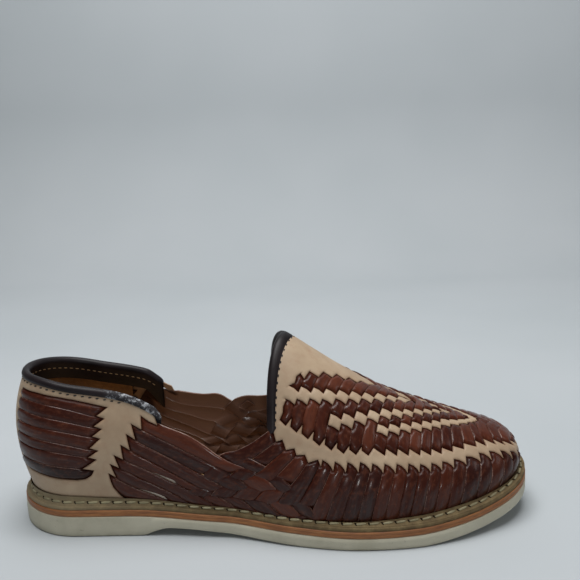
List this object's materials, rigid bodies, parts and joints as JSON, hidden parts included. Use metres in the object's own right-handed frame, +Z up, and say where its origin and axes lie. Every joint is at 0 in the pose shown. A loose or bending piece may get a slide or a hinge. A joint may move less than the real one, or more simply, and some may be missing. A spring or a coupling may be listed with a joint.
{
  "type": "woven huarache shoe",
  "caption": "Closed-toe woven leather huarache slip-on with a two-tone interlaced upper, bound collar and throat, leather welt and rubber sole; a right shoe.",
  "frame": {"origin": "centre of the bounding box at floor level", "axes": "+X to the toe, +Y to the medial side of this right shoe, +Z up"},
  "size_m": [0.2922, 0.1068, 0.1042],
  "materials": {
    "outsole": "matt off-white",
    "midsole": "dyed sole-leather edge",
    "welt": "natural, stitched",
    "insole": "natural, smooth",
    "upper": "glazed brown strips woven through a natural tan plate",
    "heel_binding": "dark, semi-gloss, rolled",
    "throat_binding": "dark, semi-gloss, rolled"
  },
  "bodies": {
    "root": {"outsole": "outsole", "midsole": "midsole", "welt": "welt", "insole": "insole", "upper": "upper", "heel_binding": "heel_binding", "throat_binding": "throat_binding"}
  },
  "joints": []
}
